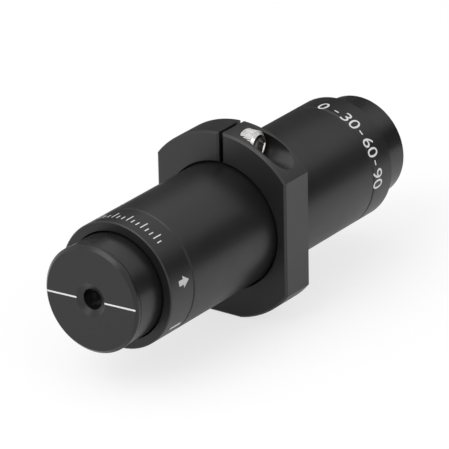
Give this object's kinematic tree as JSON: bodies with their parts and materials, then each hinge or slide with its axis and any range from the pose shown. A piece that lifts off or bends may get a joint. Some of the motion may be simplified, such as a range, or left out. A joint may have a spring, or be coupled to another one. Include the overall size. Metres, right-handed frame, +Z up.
{
  "type": "optical isolator",
  "caption": "Round black optical isolator tube with a turnable cap on each end, held round its middle by a split slip ring with a clamp screw and a threaded foot for a post.",
  "frame": {"origin": "mouth of the post thread, in the middle of the slip ring's foot", "axes": "+Z up from the foot to the tube's axis; +Y along the beam, from the input cap with the rim to the output cap; +X towards the clamp screw's head"},
  "size_m": [0.036, 0.1089, 0.0455],
  "materials": {
    "anodised_tube": "satin black anodised, turned",
    "anodised_cap": "satin black anodised, turned",
    "anodised_ring": "satin black anodised, milled",
    "bright_screw": "bright stainless",
    "dark_screw": "black oxide",
    "magnet": "nickel plated",
    "sleeve_brass": "turned",
    "crystal": "polished crystal",
    "prism_glass": "polished and coated"
  },
  "bodies": {
    "clamp": {"slip_ring": "anodised_ring"},
    "clamp_bolt": {"clamp_screw": "bright_screw"},
    "rotator_core": {"input_inner_magnet": "magnet", "input_middle_magnet": "magnet", "input_outer_magnet": "magnet", "input_crystal_sleeve": "sleeve_brass", "input_crystal": "crystal", "output_inner_magnet": "magnet", "output_middle_magnet": "magnet", "output_outer_magnet": "magnet", "output_crystal_sleeve": "sleeve_brass", "output_crystal": "crystal"},
    "housing": {"housing_tube": "anodised_tube", "input_end_ring": "anodised_tube", "output_end_ring": "anodised_tube", "centre_cell": "anodised_tube", "centre_polarizer_upper_prism": "prism_glass", "centre_polarizer_lower_prism": "prism_glass"},
    "input_head": {"input_cap": "anodised_cap", "input_cell": "anodised_cap", "input_keeper": "anodised_cap", "input_polarizer_upper_prism": "prism_glass", "input_polarizer_lower_prism": "prism_glass"},
    "input_lock": {"input_lock_screw": "dark_screw"},
    "output_head": {"output_cap": "anodised_cap", "output_cell": "anodised_cap", "output_keeper": "anodised_cap", "output_polarizer_upper_prism": "prism_glass", "output_polarizer_lower_prism": "prism_glass"},
    "output_lock": {"output_lock_screw": "dark_screw"}
  },
  "joints": [
    {"name": "tube_slide", "type": "slide", "parent": "clamp", "child": "rotator_core", "axis": [0, 1, 0], "range_m": [-0.031, 0.032]},
    {"name": "tube_turn", "type": "hinge", "parent": "rotator_core", "child": "housing", "pos_m": [0, 0, 0.02235], "axis": [0, 1, 0], "continuous": true},
    {"name": "clamp_screw_turn", "type": "hinge", "parent": "clamp", "child": "clamp_bolt", "pos_m": [0.00375, 0, 0.04206], "axis": [1, 0, 0], "range_deg": [0, 360]},
    {"name": "input_cap_turn", "type": "hinge", "parent": "housing", "child": "input_head", "pos_m": [0, -0.042, 0.02235], "axis": [0, 1, 0], "continuous": true},
    {"name": "input_lock_screw_turn", "type": "hinge", "parent": "housing", "child": "input_lock", "pos_m": [0, -0.042, 0.02235], "axis": [-0.7071, 0, -0.7071], "range_deg": [0, 360]},
    {"name": "output_cap_turn", "type": "hinge", "parent": "housing", "child": "output_head", "pos_m": [0, 0.0404, 0.02235], "axis": [0, 1, 0], "continuous": true},
    {"name": "output_lock_screw_turn", "type": "hinge", "parent": "housing", "child": "output_lock", "pos_m": [0, 0.0404, 0.02235], "axis": [-0.7071, 0, -0.7071], "range_deg": [0, 360]}
  ]
}
